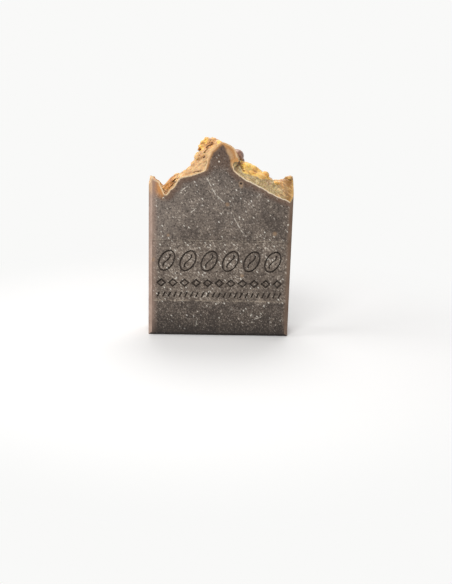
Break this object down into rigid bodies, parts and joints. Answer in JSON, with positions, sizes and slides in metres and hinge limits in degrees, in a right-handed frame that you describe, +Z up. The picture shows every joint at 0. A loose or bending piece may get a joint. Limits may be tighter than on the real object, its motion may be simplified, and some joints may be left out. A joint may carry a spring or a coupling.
{
  "type": "bar of soap",
  "caption": "Slab of hand-cut soap with planed edges, an ornament stamped low on its front, and a rough spooned top that peaks in the middle and holds roasted coffee beans.",
  "frame": {"origin": "middle of the foot that the bar stands on", "axes": "+Z up through the peak, +Y from the stamped front face to the back cut face, +X to the right when the stamped face is looked at"},
  "size_m": [0.07, 0.02, 0.0981],
  "materials": {
    "soap": "dull waxy cut faces, dark brown-grey with pale specks; caramel to cream crust on the worked top",
    "roasted_bean": "dark roasted, slightly oily"
  },
  "bodies": {
    "root": {"soap_bar": "soap", "bean_on_right_slope": "roasted_bean", "bean_behind_peak": "roasted_bean", "bean_at_back_right": "roasted_bean"}
  },
  "joints": []
}
